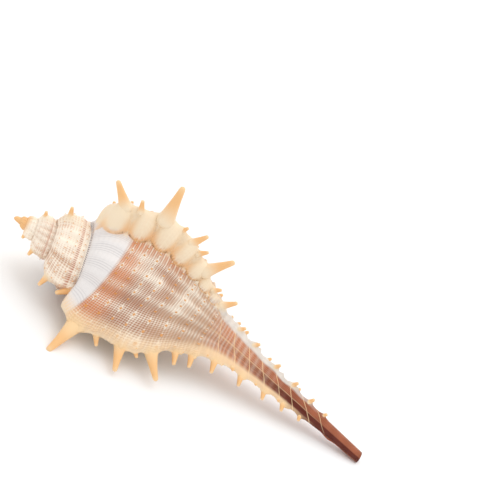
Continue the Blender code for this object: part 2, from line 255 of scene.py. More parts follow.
ROLL_START_DEG = -9.0
THREAD_PAST_FACE_DEG = (3, 9)


def smooth(x, low, high):
    """0 below low, 1 above high, and an S curve between."""
    share = np.clip((x - low) / (high - low), 0.0, 1.0)
    return share * share * (3 - 2 * share)


def blend(a, b, share):
    return [p + (q - p) * share for p, q in zip(a, b)]


def seam(turn):
    """(radius, depth) of the seam that the whorl hangs from."""
    lip = (LIP_SEAM_DEPTH * math.tan(SPIRE_HALF_ANGLE), LIP_SEAM_DEPTH)
    before, after = WHORL_RATIO ** np.minimum(turn, 0.0), np.maximum(turn, 0.0)
    return [x * before * (y / x) ** after for x, y in zip(lip, BODY_SEAM)]


def upper_wall(turn, row):
    """The wall from the whorl's own seam to the next, bulging out between them."""
    top, bottom = seam(turn), seam(turn + 1)
    across, down = bottom[0] - top[0], bottom[1] - top[1]
    bulge = WHORL_BULGE * top[1] * np.sin(math.pi * row**BULGE_POWER) / np.hypot(across, down)
    radius, depth = blend(top, bottom, row)
    return radius + down * bulge, depth - across * bulge


def lower_wall(turn, share):
    """The wall of the last whorl from the body seam, share 0, to the canal's tip, share 1."""
    grown = turn + 1
    near, edge = upper_wall(turn, SEAM_SLOPE_ROW), upper_wall(turn, 1.0)
    base = blend(BASE_BEHIND_LIP, BASE_AT_LIP, np.maximum(0.0, grown) ** BASE_GROWTH)
    waist = blend(WAIST_BEHIND_LIP, WAIST_AT_LIP, grown)
    keys = [edge, base, waist, NECK, CANAL, CANAL_LOW, CANAL_TIP]
    radii, depths = (np.array([np.broadcast_to(k[i], turn.shape) for k in keys]) for i in (0, 1))
    slopes = np.empty_like(radii)
    slopes[0] = (radii[0] - near[0]) / (depths[0] - near[1])
    slopes[1:-1] = (radii[2:] - radii[:-2]) / (depths[2:] - depths[:-2])
    slopes[-1] = (radii[-1] - radii[-2]) / (depths[-1] - depths[-2])
    past = np.maximum(0.0, (share - NECK_SHARE) / (1 - NECK_SHARE))
    depth = np.where(
        share < NECK_SHARE,
        depths[0] + (NECK[1] - depths[0]) * share / NECK_SHARE,
        NECK[1] + (SHELL_LENGTH - NECK[1]) * past**CANAL_ROW_POWER,
    )
    i = np.clip((depth >= depths[1:-1]).sum(axis=0), 0, len(keys) - 2)[None]
    r0, r1, d0, d1, s0, s1 = (
        np.take_along_axis(table, at, axis=0)[0]
        for table in (radii, depths, slopes) for at in (i, i + 1)
    )
    x = (depth - d0) / (d1 - d0)
    ends = r0 * (1 + 2 * x) * (1 - x) ** 2 + r1 * x * x * (3 - 2 * x)
    sides = s0 * x * (1 - x) ** 2 + s1 * x * x * (x - 1)
    slit = smooth(depth, *SLIT_DEPTHS[:2]) * (1 - smooth(depth, *SLIT_DEPTHS[2:]))
    slit *= 1 - smooth(grown, 0.0, SLIT_TURN)
    return (ends + sides * (d1 - d0)) * (1 - SLIT_SUNK * slit), depth


def wall(turn, row):
    turn, row = np.broadcast_arrays(np.asarray(turn, float), np.asarray(row, float))
    upper = upper_wall(turn, np.clip(row, 0.0, 1.0))
    lower = lower_wall(turn, np.clip(row - 1, 0.0, 1.0))
    return [np.where(row <= 1, a, b) for a, b in zip(upper, lower)]


def outward(turn, row):
    """The unit vector (radius, depth) that points out of the wall."""
    step = 0.01
    r0, d0 = wall(turn, np.maximum(0.0, row - step))
    r1, d1 = wall(turn, np.minimum(2.0, row + step))
    length = np.hypot(r1 - r0, d1 - d0)
    return (d1 - d0) / length, -(r1 - r0) / length


def whorl_scale(turn):
    """How large the sculpture is at a turn, against the last third of a turn."""
    return WHORL_RATIO ** np.minimum(0.0, turn - FULL_SCALE_TURN)


def band_edge(turn):
    """Depth of the line where the pale shoulder ends, on the last turn."""
    start = float(wall(-1.0, BAND_SHARE)[1])
    turns, depths = zip((-1.0, start), *BAND_EDGE)
    return np.polyval(np.polyfit(turns, depths, len(turns) - 1), turn)


def last_turn_depth(turn, step):
    """Depth of a row below the band's edge: a cord's spacing at first, drawn out to meet the neck."""
    rows = NECK_ROW - BAND_ROW
    start = band_edge(np.asarray(-1.0))
    seam_share = (SEAM_ROW - BAND_ROW) / rows
    full = rows / ROWS_PER_CORD * CORD_SPACING
    first = LIP_SEAM_DEPTH - start - (NECK[1] - start) * seam_share**3
    first = first / (full * (seam_share - seam_share**3))
    spread = full * first ** (1 - smooth(turn, -1.0, FULL_SCALE_TURN))
    share = (step - BAND_ROW) / rows
    edge = band_edge(turn)
    above = edge + spread * share + (NECK[1] - edge - spread) * share**3
    below = np.maximum(0.0, (step - NECK_ROW) / (TIP_ROW - NECK_ROW)) ** CANAL_ROW_POWER
    return np.where(step <= NECK_ROW, above, NECK[1] + (SHELL_LENGTH - NECK[1]) * below)


def row_numbers(turns, steps):
    """Row number, 0 to 2, of each mesh row (second axis) at each turn (first axis) of the last whorl."""
    samples = np.concatenate([np.linspace(0.2, 1.0, 240), np.linspace(1.0, 2.0, 360)[1:]])
    rows = np.empty((len(turns), len(steps)))
    for i, turn in enumerate(turns):
        depths = wall(turn, samples)[1]
        wanted = last_turn_depth(turn, np.asarray(steps, float))
        edge_row = np.interp(band_edge(turn), depths, samples)
        deep = np.interp(wanted, depths, samples)
        rows[i] = np.where(steps <= BAND_ROW, edge_row * steps / BAND_ROW, deep)
    return rows


def varix_height(number, row, depth):
    """How high the crest of a varix stands at a row. Varices are numbered back from the lip's, 0."""
    across = np.maximum(0.0, np.sin(math.pi * np.minimum(1.0, row))) ** SPIRE_VARIX_POWER
    height = SPIRE_VARIX_HEIGHT * seam(number / VARICES_PER_TURN + 1)[1] * across
    for last, table in VARIX_HEIGHTS.items():
        own = np.interp(depth, *zip(*table)) * smooth(row, 0.0, VARIX_TOP_ROWS[last])
        height = np.where(number == last, own, height)
    return height


def lobes(depth):
    """1 on each swelling along a varix and 0 midway between two."""
    return 0.5 + 0.5 * np.cos(2 * math.pi * np.interp(depth, LOBE_DEPTHS, range(len(LOBE_DEPTHS))))


def bearing(turn):
    """The shell is right-handed: seen from its apex, it grows clockwise."""
    return LIP_BEARING - 2 * math.pi * turn


def placed(radius, depth, angle):
    """Points in metres with the axis along +X and bearing 0 straight up, with the canal's bend."""
    past = (depth - CANAL_BEND_DEPTH) / CANAL_BEND_SOFTNESS
    drift = CANAL_BEND * CANAL_BEND_SOFTNESS * np.log1p(np.exp(past))
    drift = drift - BODY_SHIFT * smooth(depth, *BODY_SHIFT_DEPTHS)
    side = radius * np.sin(angle) + drift * math.sin(BEND_BEARING)
    up = radius * np.cos(angle) + drift * math.cos(BEND_BEARING)
    return np.stack(np.broadcast_arrays(depth, side, up), axis=-1) * MM


def crest(turn, row):
    """The wall raised by the varices alone: (radius, depth) that the spines stand on."""
    turn, row = np.broadcast_arrays(np.asarray(turn, float), np.asarray(row, float))
    number = np.round(turn * VARICES_PER_TURN)
    radius, depth = wall(turn, row)
    out = outward(turn, row)
    height = varix_height(number, row, depth)
    return radius + out[0] * height, depth + out[1] * height


def row_at(turn, depth):
    rows = np.linspace(0.0, 2.0, 401)
    return float(np.interp(depth, crest(turn, rows)[1], rows))


def standing(root, angle, lean):
    """The matrix that stands a spine on a point of the wall, leaning down the axis."""
    out = Vector((0, math.sin(angle), math.cos(angle)))
    direction = out * math.cos(math.radians(lean)) + Vector((1, 0, 0)) * math.sin(math.radians(lean))
    return Matrix.Translation(Vector(root)) @ direction.to_track_quat("Z", "Y").to_matrix().to_4x4()


def spine_place(turn, row, lean):
    angle = bearing(turn)
    return standing(placed(*crest(turn, row), angle), angle, lean)


def spine_list():
    """(turn, place, length) of every spine of the part's source."""
    for number, spines in SPINES.items():
        turn = number / VARICES_PER_TURN
        for depth, length, lean in spines:
            yield turn, spine_place(turn, row_at(turn, depth), lean), length
    for number in SPIRE_SPINE_VARICES:
        turn = number / VARICES_PER_TURN
        place = spine_place(turn, SPIRE_SPINE_ROW, SPIRE_SPINE_LEAN)
        yield turn, place, SPIRE_SPINE_LENGTH * seam(turn)[1]


# Small spines in a second line behind the crest: turns from the varix, first and last depth, spacing, length
DENTICLES = {
    0: (-0.014, 22.4, 80.0, 3.3, 0.9),
    -1: (-0.032, 19.0, 80.0, 2.6, 1.2),
    -2: (-0.03, 16.0, 76.0, 3.0, 1.1),
}
DENTICLE_PHASES = (2.4, 1.7)
DENTICLE_STRAY_TURN = 0.006
DENTICLE_STRAY_DEPTH = 0.4
DENTICLE_SIZE_CHANGE = 0.35
DENTICLE_SHRINK_DEPTHS = (50.0, 80.0)
DENTICLE_LEANS = (15, 25, 40)
DENTICLE_LEAN_DEPTHS = ((20.0, 45.0), (18.0, 26.0))


def denticle_list():
    """(turn, place, length) of the small spines, which stray a little so that no two lines look alike."""
    for number, (offset, low, high, spacing, length) in DENTICLES.items():
        for i, depth in enumerate(np.arange(low, high, spacing)):
            stray = math.sin(i * DENTICLE_PHASES[0] + number)
            turn = number / VARICES_PER_TURN + offset + DENTICLE_STRAY_TURN * stray
            size = length * (1 + DENTICLE_SIZE_CHANGE * math.sin(i * DENTICLE_PHASES[1]))
            size = size * (1 - DENTICLE_SIZE_CHANGE * smooth(depth, *DENTICLE_SHRINK_DEPTHS))
            middle, lower, upper = DENTICLE_LEANS
            lean = middle + lower * smooth(depth, *DENTICLE_LEAN_DEPTHS[0])
            lean = lean - upper * (1 - smooth(depth, *DENTICLE_LEAN_DEPTHS[1]))
            yield turn, denticle_place(turn, depth + DENTICLE_STRAY_DEPTH * stray, float(lean)), float(size)


def denticle_place(turn, depth, lean):
    rows = np.linspace(0.05, 2.0, 401)
    steps = np.full(rows.shape, float(BAND_ROW))
    radius, own_depth = relief(np.full(rows.shape, turn), rows, steps)[0]
    angle = bearing(turn)
    return standing(placed(np.interp(depth, own_depth, radius), depth, angle), angle, lean)


def waves(turn, per_turn):
    """0 at the lip, then up to 1 and back to 0, so many times a turn."""
    return 0.5 - 0.5 * np.cos(2 * math.pi * turn * per_turn)


def cord_number(step):
    """Number of the cord at a mesh row, 0 at the edge of the pale band."""
    return (step - BAND_ROW) / ROWS_PER_CORD


def on_face(past, share):
    return smooth(past, *FACE_START_DEG) * (share < 1)


def behind_mouth(turn, row):
    return np.where(row <= 1, 1.0, smooth(turn, *BEHIND_MOUTH_TURNS))


def on_body(row, depth):
    return smooth(row, *THREAD_ROWS) * (1 - smooth(depth, *THREAD_DEPTHS))


def varix_shape(number, past, row, depth, last):
    """Height of the varix, width of its face in degrees, and the share of the face that is passed."""
    lobe = lobes(depth)
    face = np.interp(depth, VARIX_FACE_DEPTHS, VARIX_FACE_DEG)
    face = face * (1 + last * (LOBE_WIDENS * lobe**0.5 - LOBE_GAP_NARROWS))
    share = np.clip(past / face, 0.0, 1.0)
    front = (1 - share ** FACE_ROUNDING[0]) ** FACE_ROUNDING[1]
    fall = np.where(past <= 0, smooth(past, -VARIX_TRAIL_DEG, 0.0), front)
    lowered = FIRST_LOBE_DROP * last * (number == -1) * (1 - smooth(depth, *FIRST_LOBE_DEPTHS))
    gaps = LOBE_GAP_DROP * last * (1 - lobe) ** 2 * on_face(past, share)
    return varix_height(number, row, depth) * (1 - lowered) * fall * (1 - gaps), face, share


def knob_height(turn, row, depth, past):
    """Knobs between the varices: round the shoulder of every whorl, and down the body of the last."""
    knobs = waves(turn, VARICES_PER_TURN * KNOBS_PER_VARIX) * smooth(np.abs(past), *KNOB_DEG)
    shoulder = np.sin(math.pi * np.minimum(1.0, row)) ** 2
    early = (1 - smooth(turn, *SPIRE_KNOB_TURNS)) * smooth(np.abs(turn + 2), *JOIN_KNOB_TURNS)
    body = smooth(row, *BODY_KNOB_ROWS) * (1 - smooth(depth, *BODY_KNOB_DEPTHS))
    body = body * smooth(turn, *BODY_KNOB_TURNS)
    higher = np.maximum(shoulder * (1 + SPIRE_KNOB_GAIN * early), BODY_KNOB_SHARE * body)
    return KNOB_HEIGHT * seam(turn)[1] * knobs * higher


def sculpture(turn, row, depth, cord, last):
    """Height of the cords, ribs and beads, in millimetres at full size."""
    shoulder = 1 - smooth(cord, -0.5, 0.5)
    canal = smooth(depth, *CANAL_DEPTHS)
    cords = CORD_HEIGHT * (0.5 + 0.5 * np.cos(2 * math.pi * cord))
    cords = cords * (1 - SHOULDER_SMOOTHED * shoulder * last) * (1 - CANAL_SMOOTHED * canal)
    rows = np.maximum(0.0, np.cos(2 * math.pi * (cord - 1) / MAIN_CORD_EVERY))
    main = rows**6 * (1 - shoulder) * (1 - canal)
    beads = np.cos(math.pi * BEADS_PER_TURN * turn)
    main_cords = main * (MAIN_CORD_HEIGHT + BEAD_HEIGHT * np.maximum(0.0, beads) ** 8)
    ribs = waves(turn, RIBS_PER_TURN)
    body = RIB_HEIGHT * ribs**2 * smooth(row, *RIB_ROWS) * (1 - smooth(depth, *RIB_DEPTHS))
    spire = SPIRE_RIB_HEIGHT * np.exp(-(((cord - 1) / SPIRE_RIB_CORDS) ** 2)) * ribs**1.5
    spire = spire + SPIRE_BEAD_HEIGHT * rows**4 * beads**4
    return cords + main_cords + body * (0.6 + 0.4 * main) + spire * (1 - last)


def sculpture_share(turn, row, depth, past, share, rolled):
    """How much of the sculpture shows: none at the seams and the mouth, or on the varices' smooth faces."""
    shown = smooth(row, *SEAM_ROWS) * np.where(turn <= -1, 1 - smooth(row, *NEXT_SEAM_ROWS), 1.0)
    shown = shown * behind_mouth(turn, row) * smooth(np.abs(turn + 2), *JOIN_TURNS)
    trail = 1 - TRAIL_SMOOTHED * smooth(past, *TRAIL_SMOOTH_DEG)
    varix = np.where(past >= 0, (share >= 1) * 1.0, trail)
    return shown * (1 - smooth(depth, *TIP_DEPTHS)) * (1 - rolled * (1 - varix))


def seam_groove(turn, row):
    """1 in the groove just under the last turn's seam, and 0 away from it."""
    across = row / SEAM_GROOVE_ROW
    ends = smooth(turn, *BODY_KNOB_TURNS) * (1 - smooth(turn, *GROOVE_END_TURNS))
    return across * np.exp(1 - across**2) * (turn > -1) * behind_mouth(turn, row) * ends


def foot_threads(row, depth, past, face, last):
    """1 on the thin threads that run out over the wall from the gaps between a varix's lobes."""
    start, end = THREAD_PAST_FACE_DEG
    along = smooth(past, face * 0.6, face) * (1 - smooth(past, face + start, face + end))
    return smooth(1 - lobes(depth), 0.86, 1.0) * along * last * on_body(row, depth)


def colour_masks(number, row, depth, past, face, share, thread, rise, last):
    """Masks of the varices' trailing sides and smooth faces, and of the shade painted under their faces and
    between their lobes.
    """
    gaps = 1 - lobes(depth)
    reach = LIP_TRAIL_DEG[0] + (LIP_TRAIL_DEG[1] - LIP_TRAIL_DEG[0]) * smooth(depth, *LIP_TRAIL_DEPTHS)
    reach = np.where(number == 0, reach, OTHER_TRAIL_DEG)
    trail = smooth(past, -reach, -reach * 0.35) * (past <= 0) * smooth(rise, 0.4, 1.6) * last
    start = np.where(number == -1, TOP_ROLL_START_DEG, ROLL_START_DEG)
    roll = smooth(past, start, -1.0) * np.where(past > 0, 1 - smooth(share, 0.9, 1.0), 1.0)
    roll = roll * smooth(rise, 0.5, 1.4) * np.where(number > -3, 1.0, 0.4) + 0.85 * thread
    # Painted shadow: darkens the wall just under each varix's overhanging face, most of all below the gaps
    # between lobes.
    foot = (past > 0) * np.exp(-(((past - face - 0.4) / 0.9) ** 2)) * (0.6 + 0.4 * gaps)
    foot = foot * last * (1 - thread) * on_body(row, depth)
    # Painted shade in the recesses between the lobes on each varix's face.
    between = 0.4 * on_face(past, share) * last * gaps**1.5 * share * (1 - smooth(depth, *THREAD_DEPTHS))
    return {"trail": trail, "roll": roll, "painted_shade": foot + between, "depth": depth / SHELL_LENGTH}


def relief(turn, row, step):
    """(radius, depth) of the finished wall, and the masks that its colours follow."""
    number = np.round(turn * VARICES_PER_TURN)
    past = (turn - number / VARICES_PER_TURN) * 360
    radius, depth = wall(turn, row)
    last = smooth(turn, *LAST_WHORL_TURNS)
    size = whorl_scale(turn)
    height, face, share = varix_shape(number, past, row, depth, last)
    height = height + knob_height(turn, row, depth, past)
    rolled = np.clip(height / (ROLLED_HEIGHT * size), 0.0, 1.0)
    shown = sculpture_share(turn, row, depth, past, share, rolled)
    height = height + size * sculpture(turn, row, depth, cord_number(step), last) * shown
    height = height - SEAM_GROOVE_DEPTH * size * seam_groove(turn, row)
    thread = foot_threads(row, depth, past, face, last)
    height = height + THREAD_HEIGHT * thread
    masks = colour_masks(number, row, depth, past, face, share, thread, height / size, last)
    out = outward(turn, row)
    return (radius + out[0] * height, depth + out[1] * height), masks


MASKS = ("roll", "painted_shade", "depth", "spine", "hollow", "root", "trail")


class Sheet:
    """A grid of the coil's wall, with its masks and its turn and cord numbers kept on it."""

    def __init__(self, shell, columns, rows):
        grid = bmesh.ops.create_grid(shell, x_segments=columns, y_segments=rows, size=1.0)["verts"]
        self.verts = grid
        self.layers = {name: shell.verts.layers.float[name] for name in MASKS}
        self.marks = [shell.verts.layers.float[name] for name in ("turn", "cord")]
        at = np.array([v.co for v in grid])
        self.column = np.round((at[:, 0] + 1) / 2 * columns).astype(int)
        self.row = np.round((at[:, 1] + 1) / 2 * rows).astype(int)

    def place(self, points, turn, cord, masks):
        turn, cord = np.broadcast_to(turn, len(points)), np.broadcast_to(cord, len(points))
        for vert, point, t, c in zip(self.verts, points.tolist(), turn.tolist(), cord.tolist()):
            vert.co = point
            vert[self.marks[0]], vert[self.marks[1]] = t, c
        for name, values in masks.items():
            layer = self.layers[name]
            for vert, value in zip(self.verts, np.broadcast_to(values, len(points)).tolist()):
                vert[layer] = value


def column_turns():
    """The turn of each column of one whole turn, -1 to 0, finer where the photo's side is."""
    coarse = np.linspace(-1.0, FINE_FROM, COARSE_COLUMNS + 1)
    return np.concatenate([coarse, np.linspace(FINE_FROM, 0.0, FINE_COLUMNS + 1)[1:]])


def straighten(spots, side, along):
    """Puts every second point of one side midway between its neighbours, to meet a coarser sheet."""
    order = np.flatnonzero(side)
    order = order[np.argsort(along[order])]
    spots[order[1:-1:2]] = (spots[order[:-2:2]] + spots[order[2::2]]) / 2


def add_coil(shell):
    """The wall: the last turn, the turn before it, and the spire with half as many rows and columns."""
    turns = column_turns()
    per_turn = len(turns) - 1
    rows = row_numbers(turns, np.arange(TIP_ROW + 1))
    early_rows = rows[0, : SEAM_ROW + 1]

    sheet = Sheet(shell, per_turn, TIP_ROW)
    turn = turns[sheet.column]
    point, masks = relief(turn, rows[sheet.column, sheet.row], sheet.row.astype(float))
    sheet.place(placed(*point, bearing(turn)), turn, cord_number(sheet.row), masks)

    sheet = Sheet(shell, per_turn, SEAM_ROW)
    turn = turns[sheet.column] - 1
    point, masks = relief(turn, early_rows[sheet.row], sheet.row.astype(float))
    spots = placed(*point, bearing(turn))
    straighten(spots, sheet.column == 0, sheet.row)
    straighten(spots, sheet.row == 0, sheet.column)
    sheet.place(spots, turn, cord_number(sheet.row), masks)

    whorls = -2 - FIRST_TURN
    half = per_turn // 2
    sheet = Sheet(shell, whorls * half, SEAM_ROW // 2)
    turn = turns[sheet.column % half * 2] + sheet.column // half + FIRST_TURN + 1
    step = sheet.row * 2.0
    point, masks = relief(turn, early_rows[sheet.row * 2], step)
    sheet.place(placed(*point, bearing(turn)), turn, cord_number(step), masks)
    meets = {v for v, t in zip(sheet.verts, turn) if t > -2 - SAME_TURN}
    hangs = {v for v, t, s in zip(sheet.verts, turn, step) if s == SEAM_ROW and t > -3 - SAME_TURN}
    edges = [e for e in shell.edges if e.verts[0] in meets and e.verts[1] in meets]
    edges += [e for e in shell.edges if e.verts[0] in hangs and e.verts[1] in hangs and e.is_boundary]
    bmesh.ops.subdivide_edges(shell, edges=list(dict.fromkeys(edges)), cuts=1)
    add_mouth(shell, rows)


def add_mouth(shell, rows):
    """The face of the last whorl, from the lip's edge to the whorl behind, with the hollow between."""
    keys = len(MOUTH_BACK) - 1
    sheet = Sheet(shell, keys * MOUTH_STEPS, TIP_ROW)
    step = sheet.row
    row = rows[-1, step]
    slide = np.round(step * (NECK_ROW - SEAM_ROW) / NECK_ROW).astype(int) + SEAM_ROW
    behind = rows[0, np.where(step >= NECK_ROW, step, np.minimum(slide, NECK_ROW))]
    lip_wall, back_wall = wall(np.zeros(len(row)), row), wall(-np.ones(len(row)), behind)
    width = np.maximum(np.hypot(lip_wall[0] - back_wall[0], lip_wall[1] - back_wall[1]), 1e-6)
    x = sheet.column / MOUTH_STEPS
    back = np.interp(x, range(len(MOUTH_BACK)), MOUTH_BACK)
    rim = np.minimum(LIP_RIM / width, RIM_SHARES[0])
    inner = 1 - np.minimum(INNER_RIM / width, RIM_SHARES[1])
    zero = np.zeros(len(row))
    table = np.array([zero, rim, rim, rim + HOLLOW_STEP, inner - HOLLOW_STEP, inner, inner, zero + 1])
    low = np.minimum(x.astype(int), keys - 1)
    across = x - low
    each = np.arange(len(row))
    share = table[low, each] * (1 - across) + table[low + 1, each] * across
    turn = -HOLLOW_TURN * back * smooth(width, *HOLLOW_WIDTHS)
    point = blend(wall(turn, row), wall(turn - 1, behind), share)
    edge = relief(np.zeros(len(row)), row, step.astype(float))[0]
    start = np.clip(1 - x, 0.0, 1.0)
    point = [p + (e - w) * start for p, e, w in zip(point, edge, lip_wall)]
    rise = np.sin(math.pi * np.clip(x, 0.0, 1.0)) * LIP_ROUNDING * smooth(width, 1.0, 3.0)
    spots = placed(*point, bearing(turn))
    along = placed(*point, bearing(turn + 0.01)) - spots
    along /= np.maximum(np.linalg.norm(along, axis=1, keepdims=True), 1e-9)
    spots = spots + along * (rise * MM)[:, None]
    masks = {
        "hollow": smooth(x, 0.0, 0.8),
        "depth": point[1] / SHELL_LENGTH,
        "roll": 1 - smooth(x, 0.3, 1.0),
    }
    sheet.place(spots, 0.0, cord_number(step), masks)


def close_start(shell):
    """Draws the open start of the coil together into a small round cap."""
    half = LIP_SEAM_DEPTH * MM / 2
    start = [e for e in shell.edges if e.is_boundary and all(v.co.x < half for v in e.verts)]
    rim = {v for e in start for v in e.verts}
    middle = sum((v.co for v in rim), Vector()) / len(rim)
    width, height = 1.0, 0.0
    for shrink, rise in CAP_RINGS:
        grown = bmesh.ops.extrude_edge_only(shell, edges=start)["geom"]
        verts = [g for g in grown if isinstance(g, bmesh.types.BMVert)]
        for vert in verts:
            flat = middle.lerp(vert.co + Vector((CAP_RISE * height * MM, 0, 0)), shrink / width)
            vert.co = flat - Vector((CAP_RISE * rise * MM, 0, 0))
        width, height = shrink, rise
        start = [g for g in grown if isinstance(g, bmesh.types.BMEdge)]
    bmesh.ops.remove_doubles(shell, verts=verts, dist=MM / 2)


def close_tip(shell):
    """Closes the canal's tip with a short bore in it."""
    rim = [e for e in shell.edges if e.is_boundary]
    face = bmesh.ops.contextual_create(shell, geom=rim)["faces"]
    bmesh.ops.inset_region(shell, faces=face, thickness=BORE_WALL * MM, use_even_offset=True)
    floor = bmesh.ops.extrude_face_region(shell, geom=face)["geom"]
    verts = [g for g in floor if isinstance(g, bmesh.types.BMVert)]
    along = Vector((1, CANAL_BEND * math.sin(BEND_BEARING), CANAL_BEND * math.cos(BEND_BEARING)))
    bmesh.ops.translate(shell, vec=along * -BORE_DEPTH * MM, verts=verts)
    bmesh.ops.delete(shell, geom=face, context="FACES_ONLY")
    # Marks the bore's floor, which the material paints dark as shade.
    hollow = shell.verts.layers.float["hollow"]
    for vert in verts:
        vert[hollow] = 2.0


LONG_SPINE = 3.0
LONG_SPINE_SIDES = 14
SHORT_SPINE_SIDES = 9
THINNEST_SPINE = 0.04
SPINE_OUT_OF_ROUND = 0.05
SPINE_CURVE = 0.05
SPINE_PHASES = (40, 50)
SPINE_MASK_START = 0.02
SPINE_DEPTH_MARK = 0.3


def spine_shape(name, sides, shares):
    """A straight post from 0 to 1 with a ring of points at each share of its height."""
    post = bmesh.new()
    bmesh.ops.create_cone(post, cap_ends=True, segments=sides, radius1=1, radius2=1, depth=1)
    for share in shares:
        geom = post.verts[:] + post.edges[:] + post.faces[:]
        bmesh.ops.bisect_plane(post, geom=geom, plane_co=(0, 0, share - 0.5), plane_no=(0, 0, 1))
    bmesh.ops.translate(post, vec=(0, 0, 0.5), verts=post.verts)
    mesh = bpy.data.meshes.new(name)
    post.to_mesh(mesh)
    post.free()
    return mesh


def add_spine(shell, shape, turn, place, length):
    """A round spine with a blunt tip and a foot that flares out and reaches into the wall."""
    first = len(shell.verts)
    shell.from_mesh(shape)
    shell.verts.ensure_lookup_table()
    foot, tip = (start + growth * length for start, growth in (SPINE_FOOT, SPINE_TIP))
    sunk = SPINE_SUNK[0] * length + SPINE_SUNK[1] * foot
    spine, depths, turns, cords = (shell.verts.layers.float[n] for n in ("spine", "depth", "turn", "cord"))
    for vert in shell.verts[first:]:
        share = vert.co.z
        width = tip + (foot - tip) * float(np.interp(share, *zip(*SPINE_PROFILE)))
        lobe = math.sin(3 * math.atan2(vert.co.y, vert.co.x) + turn * SPINE_PHASES[0])
        width = max(THINNEST_SPINE, width) * (1 + SPINE_OUT_OF_ROUND * lobe * (1 - share))
        bend = SPINE_CURVE * length * share * share * math.sin(turn * SPINE_PHASES[1] + length)
        height = share * (length + sunk) - sunk
        vert.co = place @ (Vector((vert.co.x * width + bend, vert.co.y * width, height)) * MM)
        vert[spine] = SPINE_MASK_START + (1 - SPINE_MASK_START) * max(0.0, height / length)
        vert[depths], vert[turns], vert[cords] = SPINE_DEPTH_MARK, turn, 0.0


def new_mesh():
    """An empty mesh with the layers that the colours read."""
    made = bmesh.new()
    for name in (*MASKS, "turn", "cord"):
        made.verts.layers.float.new(name)
    made.loops.layers.uv.new("coil")
    return made


def add_spines(shell, spines):
    """Adds every spine to the shell's mesh, long ones with more points than short ones."""
    shares = [share for share, _ in SPINE_PROFILE[1:-1]]
    shapes = {
        True: spine_shape("long_spine", LONG_SPINE_SIDES, shares),
        False: spine_shape("short_spine", SHORT_SPINE_SIDES, shares[::2]),
    }
    grown = new_mesh()
    for turn, place, length in spines:
        add_spine(grown, shapes[length > LONG_SPINE], turn, place, length)
    keep_coordinates(grown)
    mesh = bpy.data.meshes.new("spines")
    grown.to_mesh(mesh)
    grown.free()
    shell.from_mesh(mesh)
    for used in (mesh, *shapes.values()):
        bpy.data.meshes.remove(used)


# The soft hill round a spine's foot, in shares of the foot's radius
HILL_HEIGHT = 1.75
HILL_REACH = 0.9
ROOT_REACH = 1.3
ROOT_PUSH = 0.8
ROOT_FACING = -0.3


def swell_roots(shell, spines):
    """Raises a soft hill of the wall round the foot of each spine, and marks it for colour."""
    verts = list(shell.verts)
    at = np.array([v.co for v in verts])
    normals = np.array([v.normal for v in verts])
    root = np.zeros(len(verts))
    lift = np.zeros((len(verts), 3))
    for _, place, length in spines:
        foot = (SPINE_FOOT[0] + SPINE_FOOT[1] * length) * MM
        away = np.linalg.norm(at - np.array(place.translation), axis=1)
        near = np.exp(-((away / (ROOT_REACH * foot)) ** 2))
        axis = np.array(place.to_3x3() @ Vector((0, 0, 1)))
        facing = normals @ axis
        along = np.clip(facing, 0.0, 1.0)[:, None]
        hill = HILL_HEIGHT * np.exp(-away / (HILL_REACH * foot)) * foot
        lift += (hill[:, None] * along) * axis
        lift += (near * foot * ROOT_PUSH * (facing > ROOT_FACING))[:, None] * (1 - along) * normals
        root = np.maximum(root, near * min(1.0, length / LONG_SPINE))
    layer = shell.verts.layers.float["root"]
    for vert, point, mark in zip(verts, (at + lift).tolist(), root.tolist()):
        vert.co = point
        vert[layer] = mark


def lay_down(shell):
    """Turns the shell to stand on its two feet and its canal, and wears the three points flat."""
    feet = []
    for number, depth in (FRONT_FOOT, BACK_FOOT):
        turn = number / VARICES_PER_TURN
        length, lean = next(s[1:] for s in SPINES[number] if s[0] == depth)
        feet.append(spine_place(turn, row_at(turn, depth), lean) @ Vector((0, 0, length * MM)))
    front, back = feet
    side = (front - back).normalized()
    canal_end = [v.co for v in shell.verts if v.co.x > CANAL_END_DEPTH * MM]
    tip = min(canal_end, key=lambda point: point.z)
    up = (tip - front).cross(side)
    up = (up if up.z > 0 else -up).normalized()
    along = (Vector((1, 0, 0)) - up * up.x).normalized()
    turn = Matrix((along, up.cross(along), up)).to_4x4()
    bmesh.ops.transform(shell, matrix=turn, verts=shell.verts)
    floor = min((turn @ front).z, (turn @ back).z) + FOOT_WEAR * MM
    geom = shell.verts[:] + shell.edges[:] + shell.faces[:]
    cut = bmesh.ops.bisect_plane(
        shell, geom=geom, plane_co=(0, 0, floor), plane_no=(0, 0, -1), clear_outer=True, dist=ON_PLANE
    )["geom_cut"]
    edges = [g for g in cut if isinstance(g, bmesh.types.BMEdge)]
    bmesh.ops.holes_fill(shell, edges=edges, sides=0)
    low = [min(v.co[i] for v in shell.verts) for i in range(3)]
    high = [max(v.co[i] for v in shell.verts) for i in range(3)]
    shift = Vector((-(low[0] + high[0]) / 2, -(low[1] + high[1]) / 2, -floor))
    bmesh.ops.translate(shell, vec=shift, verts=shell.verts)


def keep_coordinates(shell):
    """Stores turn and cord numbers at face corners, so that they stay exact along the seams."""
    uv = shell.loops.layers.uv["coil"]
    turns, cords = (shell.verts.layers.float[n] for n in ("turn", "cord"))
    for face in shell.faces:
        face.smooth = True
        for loop in face.loops:
            loop[uv].uv = (loop.vert[turns], loop.vert[cords])


